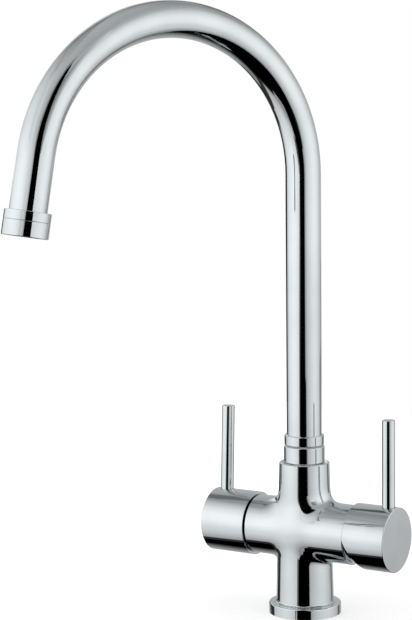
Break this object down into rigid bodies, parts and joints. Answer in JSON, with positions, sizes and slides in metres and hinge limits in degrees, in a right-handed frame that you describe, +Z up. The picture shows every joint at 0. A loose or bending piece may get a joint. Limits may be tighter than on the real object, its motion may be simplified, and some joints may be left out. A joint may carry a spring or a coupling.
{
  "type": "kitchen mixer tap",
  "caption": "Deck-mounted kitchen mixer tap: cast cross body, a tilting mixer handle, a quarter-turn side valve, and a tall swan-neck spout that swivels.",
  "frame": {"origin": "centre of the base where it stands on the deck", "axes": "+Z up along the column and the spout's swivel axis, +X along the valve axis towards the mixer handle, -Y towards the user"},
  "size_m": [0.1604, 0.2105, 0.3802],
  "materials": {
    "chrome": "polished",
    "brass": "machined",
    "rubber": "matt",
    "ceramic": "lapped",
    "plastic": "moulded",
    "steel": "bright"
  },
  "bodies": {
    "tap_body": {"body_casting": "chrome", "base_ring": "chrome", "base_seal": "rubber", "spout_gland": "chrome", "swivel_bush": "plastic", "filter_valve_body": "brass", "filter_fixed_disc": "ceramic", "filter_seat_seal": "rubber", "filter_valve_o_ring": "rubber", "mixer_seal": "rubber", "mixer_fixed_disc": "ceramic", "mixer_shell": "plastic", "mixer_nut": "brass", "mixer_cover": "chrome"},
    "spout": {"spout_tube": "chrome", "spout_ferrule": "chrome", "spout_spigot": "brass", "spout_o_rings": "rubber", "spout_clip": "steel", "outlet_bush": "chrome", "aerator_housing": "chrome", "aerator_insert": "plastic", "aerator_screen": "plastic", "aerator_washer": "rubber"},
    "filter_handle": {"filter_handle_cap": "chrome", "filter_lever": "chrome", "filter_grub_screw": "steel", "filter_spline_adaptor": "plastic", "filter_spindle": "brass", "filter_moving_disc": "ceramic", "filter_spindle_o_ring": "rubber", "filter_spindle_clip": "steel"},
    "mixer_turntable": {"mixer_guide": "plastic", "mixer_pin": "steel"},
    "mixer_handle": {"mixer_handle_cap": "chrome", "mixer_lever": "chrome", "mixer_stem": "brass", "mixer_grub_screw": "steel"},
    "mixer_slider": {"mixer_moving_disc": "ceramic", "mixer_disc_carrier": "plastic"}
  },
  "joints": [
    {"name": "spout_swivel", "type": "hinge", "parent": "tap_body", "child": "spout", "pos_m": [0, 0, 0.107], "axis": [0, 0, 1], "continuous": true},
    {"name": "filter_lever_turn", "type": "hinge", "parent": "tap_body", "child": "filter_handle", "pos_m": [-0.05, 0, 0.053], "axis": [1, 0, 0], "range_deg": [0, 90]},
    {"name": "mixer_turn", "type": "hinge", "parent": "tap_body", "child": "mixer_turntable", "pos_m": [0.0285, 0, 0.053], "axis": [1, 0, 0], "range_deg": [-45, 45]},
    {"name": "mixer_lift", "type": "hinge", "parent": "mixer_turntable", "child": "mixer_handle", "pos_m": [0.0285, 0, 0.053], "axis": [0, 1, 0], "range_deg": [0, 22]},
    {"name": "mixer_slide", "type": "slide", "parent": "mixer_turntable", "child": "mixer_slider", "axis": [0, 0, 1], "range_m": [0, 0.0025]}
  ],
  "couplings": [
    {"joint": "mixer_slide", "follows": "mixer_lift", "m_per_rad": 0.006049}
  ]
}
